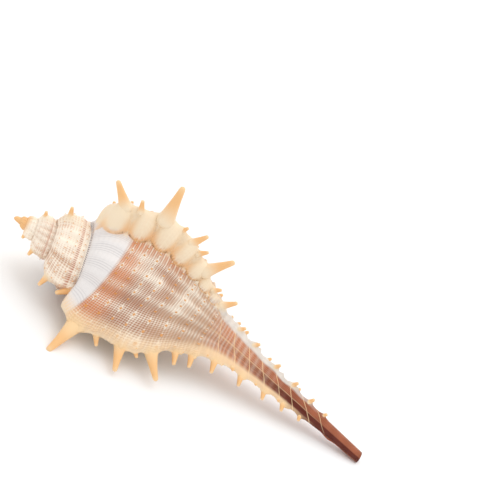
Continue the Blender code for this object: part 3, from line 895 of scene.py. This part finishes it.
class Varying:
    """A number that varies over the surface: a node's output, with Python's arithmetic."""

    def __init__(self, shade, socket):
        self.shade, self.socket = shade, socket

    def math(self, operation, *values):
        return self.shade.number("ShaderNodeMath", {"operation": operation}, list(values))

    def __add__(self, other):
        return self.math("ADD", self, other)

    def __sub__(self, other):
        return self.math("SUBTRACT", self, other)

    def __rsub__(self, other):
        return self.math("SUBTRACT", other, self)

    def __mul__(self, other):
        return self.math("MULTIPLY", self, other)

    def __pow__(self, other):
        return self.math("POWER", self, other)

    __radd__ = __add__
    __rmul__ = __mul__

    def size(self):
        return self.math("ABSOLUTE", self)

    def cos(self):
        return self.math("COSINE", self)

    def crests(self):
        """1 at each whole turn of an angle, and 0 halfway between."""
        return self.cos() * 0.5 + 0.5

    def above(self, other):
        return self.math("MAXIMUM", self, other)

    def below(self, other):
        return self.math("MINIMUM", self, other)

    def smooth(self, low, high):
        settings = {"interpolation_type": "SMOOTHSTEP", "clamp": True}
        limits = {"Value": self, "From Min": low, "From Max": high}
        return self.shade.number("ShaderNodeMapRange", settings, limits)


class Shade:
    """Builds one material's nodes."""

    def __init__(self, name):
        self.material = bpy.data.materials.new(name)
        self.material.use_nodes = True
        self.tree = self.material.node_tree
        self.surface = self.tree.nodes["Principled BSDF"]

    def node(self, kind, settings=None, inputs=None, output=0):
        made = self.tree.nodes.new(kind)
        for key, value in (settings or {}).items():
            setattr(made, key, value)
        pairs = inputs.items() if isinstance(inputs, dict) else enumerate(inputs or [])
        for key, value in pairs:
            self.feed(made.inputs[key], value)
        return made.outputs[output]

    def number(self, kind, settings=None, inputs=None, output=0):
        return Varying(self, self.node(kind, settings, inputs, output))

    def feed(self, socket, value):
        value = value.socket if isinstance(value, Varying) else value
        if isinstance(value, bpy.types.NodeSocket):
            self.tree.links.new(value, socket)
        else:
            socket.default_value = value

    def mask(self, name):
        return self.number("ShaderNodeAttribute", {"attribute_name": name}, output="Fac")

    def mix(self, factor, under, over):
        """The colour under, with the colour over laid on it by factor."""
        settings = {"data_type": "RGBA", "clamp_factor": True}
        return self.node("ShaderNodeMix", settings, {0: factor, 6: under, 7: over}, 2)

    def noise(self, vector, scale, detail):
        return self.number("ShaderNodeTexNoise", None, {"Vector": vector, "Scale": scale, "Detail": detail})


def colour(name, text, default):
    return bpy.props.FloatVectorProperty(
        name=name, description=text, subtype="COLOR", size=4, min=0.0, max=1.0, default=default
    )


def tint(red, green, blue):
    """A colour given as it looks on a screen, turned into Blender's linear values."""
    shown = (red, green, blue)
    return tuple(x / 12.92 if x <= 0.04045 else ((x + 0.055) / 1.055) ** 2.4 for x in shown) + (1.0,)


class MurexColours(bpy.types.PropertyGroup):
    ivory: colour("Ivory", "The smooth faces of the ribs", tint(0.95, 0.87, 0.75))
    cream: colour("Cream", "The sloping sides behind the ribs", tint(0.98, 0.84, 0.67))
    # The spine colour also paints the faint shade at the varices' feet and between their lobes.
    spine: colour("Spines", "The spines, pale apricot", tint(0.95, 0.75, 0.52))
    spine_tip: colour("Spine tips", "The feet and tips of the spines", tint(0.97, 0.83, 0.64))
    white: colour("White band", "The pale shoulder of the last whorl", tint(0.92, 0.90, 0.89))
    cord_grey: colour("Cord grey", "The faint lines on the white band", tint(0.72, 0.70, 0.70))
    pale: colour("Pale body", "The raised threads of the body", tint(0.99, 0.94, 0.87))
    orange: colour("Orange brown", "The grooves just under the white band", tint(0.82, 0.47, 0.24))
    tan: colour("Tan", "The darker patches of the body", tint(0.66, 0.41, 0.27))
    lilac: colour("Lilac beige", "The body towards its base", tint(0.75, 0.57, 0.44))
    bead: colour("Beads", "The small beads", tint(0.90, 0.62, 0.33))
    canal_pink: colour("Canal, upper", "The upper band of the canal", tint(0.73, 0.42, 0.28))
    # Canal brown also paints the deep shadow under the varices' faces.
    canal_brown: colour("Canal, lower", "The lower band of the canal", tint(0.40, 0.13, 0.04))
    ridge: colour("Canal ridge", "The pale ridge above the canal", tint(0.90, 0.86, 0.82))
    # Dark paints the dashed line under the seam, and the painted shade inside the canal tip's bore.
    dark: colour("Dark", "Deep gaps and the inside of the hollows", tint(0.36, 0.20, 0.12))


# The pattern of colours: lines to a turn, scales of the noise, and places in turns, cords or depths
TAU = 2 * math.pi
THREADS_PER_TURN = 200
SPIRE_THREADS_PER_TURN = 110
BAND_LINES_PER_TURN = 132
BAND_LINE_SWEEP = (0.0044, 0.00068)
CANAL_LINES_PER_TURN = 40
GRAIN_SCALE = 420.0
CLOUD_SCALE = 110.0
LAST_TURN = (-1.02, -0.98)
BAND_END_CORDS = (-0.7, 0.5)
SEAM_LINE_CORD = -8.0
SPIRE_LINE_CORD = 2.3
SPIRE_LINE_TURNS = (-2.6, -2.2)
FIRST_WHORL_DEPTHS = (2.8, 4.6)
CANAL_COLOUR_DEPTHS = (49.0, 58.0)
CANAL_NECK_DEPTHS = (58.0, 80.0)
CANAL_COLOURS_MEET = (-0.17, -0.145)
CANAL_LATTICE = (14.0, 4.6)
CANAL_LATTICE_END = (86.0, 91.0)
CANAL_MIDDLE_TURN = -0.158
CANAL_MIDDLE_END = (80.0, 90.0)
RIDGE_DEPTHS = ((46.0, 54.0), (74.0, 88.0))
TOP_RIDGE_TURN = -0.345
LOW_RIDGE_TURNS = (-0.068, -0.04)
LIP_FOOT_TURNS = (-0.2, -0.15)
BUMP_STRENGTH = 0.6
BUMP_DISTANCE = 0.00025
SHELL_SHINE = 0.3


class ShellSkin(Shade):
    """White band, orange-brown net with beads, netted spire, red-brown canal, cream ribs, apricot spines."""

    def __init__(self, colours):
        super().__init__("shell_skin")
        self.colours = colours
        across = self.node("ShaderNodeSeparateXYZ", None, [self.node("ShaderNodeUVMap", {"uv_map": "coil"})])
        self.turn, self.cord = turn, cord = [Varying(self, output) for output in across.node.outputs[:2]]
        place = self.node("ShaderNodeTexCoord", output="Object")
        self.grain = self.noise(place, GRAIN_SCALE, 3.0)
        self.clouds = self.noise(place, CLOUD_SCALE, 2.0)
        self.depth = self.mask("depth") * SHELL_LENGTH
        self.last = turn.smooth(*LAST_TURN)
        self.shoulder = (1 - cord.smooth(*BAND_END_CORDS)) * self.last
        self.canal = self.depth.smooth(*CANAL_COLOUR_DEPTHS)

        self.wave = (cord * TAU).crests()
        self.fine = (cord * (TAU * 2)).crests()
        self.threads = self.lines(THREADS_PER_TURN, 1.6)
        self.coarse = self.lines(SPIRE_THREADS_PER_TURN, 1.2)
        self.main = ((cord - 1) * (TAU / MAIN_CORD_EVERY)).cos().above(0.0) ** 6
        self.bead_line = (turn * (math.pi * BEADS_PER_TURN)).cos().size()
        self.beads = self.bead_line ** 8
        self.ribs = self.swells(turn)
        self.net = (self.fine ** 1.5 * 0.5).above(self.threads ** 1.5 * 0.6)
        self.net = self.net + self.fine * self.threads * 0.45 + self.wave ** 3 * 0.2

    def lines(self, per_turn, unevenness):
        """Thin lines across the spiral, a little uneven."""
        return (self.turn * (per_turn * TAU) + (self.grain - 0.5) * unevenness).crests()

    def swells(self, turn):
        return (0.5 - (turn * (TAU * RIBS_PER_TURN)).cos() * 0.5) ** 1.5

    def body(self):
        """The net of pale threads over orange, tan and lilac, with beads on the main cords."""
        c, clouds, ribs, main = self.colours, self.clouds, self.ribs, self.main
        stripe = self.cord.smooth(-0.6, 0.4) * (1 - self.cord.smooth(2.5, 7.0))
        low = self.cord.smooth(9.0, 18.0)
        ground = self.mix(low, c.tan, c.lilac)
        ground = self.mix(stripe * (0.75 + clouds * 0.4), ground, c.orange)
        after = (self.turn * (TAU * VARICES_PER_TURN) - 0.8).cos().above(0.0) ** 6
        ground = self.mix(after * (1 - low) * 0.6, ground, c.orange)
        halo = main * self.bead_line ** 2.5 * 0.7 + ribs * (0.3 + main * 0.5)
        halo = (halo + (clouds - 0.5) * 2.6 + low * 0.12 - 0.1).smooth(0.1, 1.0)
        patch = (1 - ribs) * (0.8 - clouds).smooth(0.1, 0.4)
        pale = self.net * (0.85 - patch * 0.5) + halo * 0.65
        pale = pale + after * self.wave ** 3 * (self.threads * 0.6 + 0.3)
        skin = self.mix(pale.below(1.0), ground, c.pale)
        return self.mix((main * self.beads).smooth(0.35, 0.7) * 0.9, skin, c.bead)

    def band(self):
        """The white shoulder, with faint grey growth lines that sweep back from its edge."""
        straight, curved = BAND_LINE_SWEEP
        swept = self.turn - self.cord * (self.cord * curved + straight)
        strands = (swept * (TAU * BAND_LINES_PER_TURN) + (self.grain - 0.5) * 1.8).crests()
        # How strongly the grey lines show: uneven with the noise, and fainter on the swells of the ribs.
        line_strength = (self.clouds * 1.4 - 0.1 - self.swells(swept) * 0.8).smooth(0.0, 0.7)
        return self.mix(strands ** 2 * 0.42 * line_strength, self.colours.white, self.colours.cord_grey)

    def spire(self):
        """The pale net of the early whorls, with beads and one thin brown line."""
        c, wave, coarse, clouds = self.colours, self.wave, self.coarse, self.clouds
        weave = (wave ** 1.5 * 0.6).above(coarse ** 1.5 * 0.6) + wave * coarse * 0.4
        skin = self.mix((clouds - 0.2) * 1.6, c.lilac, c.orange)
        pale = weave * 0.6 + self.ribs * 0.25 + (clouds - 0.5) * 1.6 + 0.72
        pale = pale - self.turn.smooth(-3.5, -1.5) * 0.25
        skin = self.mix(pale.smooth(0.0, 1.0), skin, c.pale)
        skin = self.mix((self.main * self.beads).smooth(0.35, 0.8) * 0.75, skin, c.bead)
        line = 1 - (self.cord - SPIRE_LINE_CORD).size().smooth(0.3, 0.8)
        line = line * (0.25 + (1 - coarse).smooth(0.3, 0.7) * 0.75) * self.turn.smooth(*SPIRE_LINE_TURNS)
        return self.mix(line * 0.7, skin, c.canal_pink)

    def tube(self):
        """The canal: two bands of red-brown with fine lines along it and pale slanting threads."""
        c, turn, depth, cloud = self.colours, self.turn, self.depth, self.clouds - 0.5
        neck = 1 - depth.smooth(*CANAL_NECK_DEPTHS)
        skin = self.mix(1 - turn.smooth(*CANAL_COLOURS_MEET), c.canal_brown, c.canal_pink)
        skin = self.mix(neck * 0.85, skin, c.orange)
        striae = (turn * (TAU * CANAL_LINES_PER_TURN) + cloud * 2.5 + (self.grain - 0.5) * 1.5).crests()
        skin = self.mix(striae ** 2.5 * (0.75 - neck * 0.45), skin, c.canal_brown)
        skin = self.mix((self.clouds - 0.35) * 0.7, skin, c.canal_brown)
        skin = self.mix(neck * self.net * 0.45, skin, c.pale)
        slant, spacing = CANAL_LATTICE
        lattice = ((depth - turn * slant + cloud * 2.5) * (math.pi / spacing)).cos().size()
        lattice = (1 - lattice.smooth(0.02, 0.14)) * (1 - depth.smooth(*CANAL_LATTICE_END))
        middle = 1 - (turn - CANAL_MIDDLE_TURN + cloud * 0.02).size().smooth(0.003, 0.011)
        middle = middle * (1 - depth.smooth(*CANAL_MIDDLE_END)) * 0.5
        return self.mix(lattice.above(middle) * 0.85, skin, c.spine_tip)

    def lines_and_ridges(self, skin):
        """The pale ridges along the canal, and the dark line under the seam."""
        start, end = RIDGE_DEPTHS
        ridge = self.depth.smooth(*start) * (1 - self.depth.smooth(*end))
        top = 1 - (self.turn - TOP_RIDGE_TURN).size().smooth(0.05, 0.085)
        skin = self.mix(ridge * self.turn.smooth(*LOW_RIDGE_TURNS) * 0.9, skin, self.colours.cream)
        skin = self.mix(ridge * top, skin, self.colours.ridge)
        seam_line = (1 - (self.cord - SEAM_LINE_CORD).smooth(0.15, 0.7)) * self.coarse.smooth(0.4, 0.9)
        seam_line = seam_line * (0.15 + self.turn.smooth(-2.6, -1.4) * 0.65)
        return self.mix(seam_line, skin, self.colours.dark)

    def varices(self, skin):
        """The ribs' cream faces and backs, with shade painted at their feet and between their lobes: apricot
        where faint, canal brown where deep.
        """
        c, trail, painted_shade = self.colours, self.mask("trail"), self.mask("painted_shade")
        self.roll = self.mask("roll").below(1.0)
        skin = self.mix(trail * (0.6 + self.wave * 0.3), skin, c.cream)
        skin = self.mix(self.roll * 0.95, skin, c.ivory)
        # Painted shade: apricot where the mask is faint, canal brown where it is deep.
        skin = self.mix(painted_shade.smooth(0.0, 0.4) * 0.75, skin, c.spine)
        return self.mix(painted_shade.smooth(0.4, 1.0) * 0.85, skin, c.canal_brown)

    def spines(self, skin):
        """Apricot spines, paler at their feet and tips, and the apricot first whorls."""
        c, spine = self.colours, self.mask("spine")
        self.on_spine = spine.smooth(0.0, 0.01)
        foot = self.mix(self.turn.smooth(*LIP_FOOT_TURNS), c.ivory, c.spine_tip)
        skin = self.mix(self.mask("root").smooth(0.1, 0.7), skin, foot)
        apricot = self.mix((spine + (self.clouds - 0.5) * 0.5).smooth(0.03, 0.6), foot, c.spine)
        apricot = self.mix(spine.smooth(0.8, 1.0) * 0.7, apricot, c.spine_tip)
        skin = self.mix(self.on_spine, skin, apricot)
        return self.mix(1 - self.depth.smooth(*FIRST_WHORL_DEPTHS), skin, c.spine)

    def finish(self):
        """Lays the layers over each other, adds gloss and fine relief, and gives the material."""
        skin = self.mix(self.shoulder, self.body(), self.band())
        skin = self.mix(1 - self.last, skin, self.spire())
        skin = self.mix(self.canal, skin, self.tube())
        skin = self.spines(self.varices(self.lines_and_ridges(skin)))
        hollow = self.mask("hollow")
        skin = self.mix(hollow.smooth(0.2, 0.8), skin, self.colours.ivory)
        # Painted shade: the inside of the canal tip's bore is painted dark.
        skin = self.mix(hollow.smooth(1.2, 1.8), skin, self.colours.dark)
        self.feed(self.surface.inputs["Base Color"], skin)

        bare = self.depth.smooth(3.0, 8.0) * (1 - self.roll) * (1 - self.on_spine)
        bare = bare * (1 - hollow.below(1.0)) * (1 - self.canal * 0.75)
        height = self.threads * (0.4 + self.wave * 0.6) + self.fine * 0.4
        height = height * (self.last * 0.85 + 0.15 - self.shoulder * 0.7) + self.grain * 0.3
        bump = {"Strength": BUMP_STRENGTH, "Distance": BUMP_DISTANCE, "Height": height * bare}
        self.feed(self.surface.inputs["Normal"], self.node("ShaderNodeBump", None, bump))
        self.feed(self.surface.inputs["Roughness"], 0.3 + bare * 0.22 - self.canal * 0.12)
        self.feed(self.surface.inputs["Specular IOR Level"], SHELL_SHINE)
        return self.material


def add_object(scene, name, data):
    made = bpy.data.objects.new(name, data)
    scene.collection.objects.link(made)
    return made


def add_piece(scene, name, shape, material):
    """An object at the origin with the shape's mesh and one material."""
    mesh = bpy.data.meshes.new(name)
    shape.to_mesh(mesh)
    shape.free()
    mesh.materials.append(material)
    return add_object(scene, name, mesh)


class MUREX_OT_shell(bpy.types.Operator):
    """Model the shell, with its ribs, cords, beads, spines and mouth"""

    bl_idname = "murex.build_shell"
    bl_label = "Build the shell"

    def execute(self, context):
        shell = new_mesh()
        add_coil(shell)
        keep_coordinates(shell)
        bmesh.ops.remove_doubles(shell, verts=shell.verts, dist=SAME_POINT)
        bmesh.ops.dissolve_degenerate(shell, edges=shell.edges, dist=SAME_POINT / 2)
        close_start(shell)
        close_tip(shell)
        bmesh.ops.recalc_face_normals(shell, faces=shell.faces)
        shell.normal_update()
        spines = list(spine_list()) + list(denticle_list())
        swell_roots(shell, spines)
        add_spines(shell, spines)
        for face in shell.faces:
            face.smooth = True
        lay_down(shell)
        material = ShellSkin(context.scene.murex_colours).finish()
        skin = add_piece(context.scene, "murex_skin", shell, material)
        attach(skin, "root")
        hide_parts(NAME)
        return {"FINISHED"}


class MurexStage(bpy.types.PropertyGroup):
    floor_colour: colour("Floor", "The floor's colour", (0.95, 0.95, 0.95, 1.0))
    floor_size: bpy.props.FloatProperty(
        name="Floor size", description="Width of the floor", subtype="DISTANCE", unit="LENGTH", default=8.0
    )
    light_power: bpy.props.FloatProperty(
        name="Light", description="Power of the main light", subtype="POWER", unit="POWER", default=5.0
    )


# The camera, from the photo: the direction from the shell to it, and the photo's up direction
CAMERA_FROM = (-0.10349, -0.83581, 0.53917)
CAMERA_UP = (-0.47628, 0.51754, 0.71086)
CAMERA_AIM = (0.00194, 0.0083, 0.03146)
CAMERA_DISTANCE = 0.45
CAMERA_NEAR = 0.01
FRAME_WIDTH = 500 / 4.275 * MM
SENSOR = 36.0
LAMP_SPOT = (0.16, 0.3, 0.94)
LAMP_SIZE = 1.3
SKY_STRENGTH = 0.92
FLOOR_ROUGHNESS = 0.9
FLOOR_SHINE = 0.2


class MUREX_OT_stage(bpy.types.Operator):
    """Set the floor, the light and the camera"""

    bl_idname = "murex.build_stage"
    bl_label = "Build the stage"

    def execute(self, context):
        options = context.scene.murex_stage
        scene = context.scene
        scene.view_settings.view_transform = "Standard"
        self.floor(scene, options.floor_size, options.floor_colour)
        self.sky(scene)
        self.lamp(scene, options.light_power)
        self.camera(scene)
        return {"FINISHED"}

    def floor(self, scene, size, paint_colour):
        plane = bmesh.new()
        bmesh.ops.create_grid(plane, x_segments=1, y_segments=1, size=size / 2)
        paint = Shade("floor_paint")
        paint.surface.inputs["Base Color"].default_value = paint_colour
        paint.surface.inputs["Roughness"].default_value = FLOOR_ROUGHNESS
        paint.surface.inputs["Specular IOR Level"].default_value = FLOOR_SHINE
        add_piece(scene, "floor", plane, paint.material)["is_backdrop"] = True

    def sky(self, scene):
        world = bpy.data.worlds.new("studio")
        world.use_nodes = True
        sky = world.node_tree.nodes["Background"]
        sky.inputs["Color"].default_value = (1.0, 1.0, 1.0, 1.0)
        sky.inputs["Strength"].default_value = SKY_STRENGTH
        scene.world = world

    def lamp(self, scene, power):
        data = bpy.data.lights.new("main", "AREA")
        data.energy = power
        data.size = LAMP_SIZE
        lamp = add_object(scene, "main", data)
        lamp.location = LAMP_SPOT
        lamp.rotation_mode = "QUATERNION"
        lamp.rotation_quaternion = Vector(LAMP_SPOT).to_track_quat("Z", "Y")
        lamp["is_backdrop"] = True

    def camera(self, scene):
        data = bpy.data.cameras.new("camera")
        data.sensor_width = SENSOR
        data.lens = SENSOR * CAMERA_DISTANCE / FRAME_WIDTH
        data.clip_start = CAMERA_NEAR
        view = add_object(scene, "camera", data)
        back = Vector(CAMERA_FROM).normalized()
        right = Vector(CAMERA_UP).cross(back).normalized()
        turn = Matrix((right, back.cross(right), back)).transposed().to_4x4()
        view.matrix_world = Matrix.Translation(Vector(CAMERA_AIM) + back * CAMERA_DISTANCE) @ turn
        scene.camera = view


class MUREX_PT_sidebar(bpy.types.Panel):
    bl_idname = "MUREX_PT_sidebar"
    bl_label = "Murex shell"
    bl_space_type = "VIEW_3D"
    bl_region_type = "UI"
    bl_category = "Murex"

    def draw(self, context):
        for name in MurexColours.__annotations__:
            self.layout.prop(context.scene.murex_colours, name)
        self.layout.operator(MUREX_OT_shell.bl_idname)
        for name in MurexStage.__annotations__:
            self.layout.prop(context.scene.murex_stage, name)
        self.layout.operator(MUREX_OT_stage.bl_idname)


CLASSES = (MurexColours, MurexStage, MUREX_OT_shell, MUREX_OT_stage, MUREX_PT_sidebar)


def register():
    for each in CLASSES:
        bpy.utils.register_class(each)
    bpy.types.Scene.murex_colours = bpy.props.PointerProperty(type=MurexColours)
    bpy.types.Scene.murex_stage = bpy.props.PointerProperty(type=MurexStage)


def unregister():
    del bpy.types.Scene.murex_stage
    del bpy.types.Scene.murex_colours
    for each in reversed(CLASSES):
        bpy.utils.unregister_class(each)


def main():
    register()
    bpy.ops.murex.build_shell()
    bpy.ops.murex.build_stage()
    boxes = {"cad": CAD_BOX, "visual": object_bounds()}
    {name: [list(map(float, corner)) for corner in box] for name, box in boxes.items()}


if __name__ == "__main__":
    main()
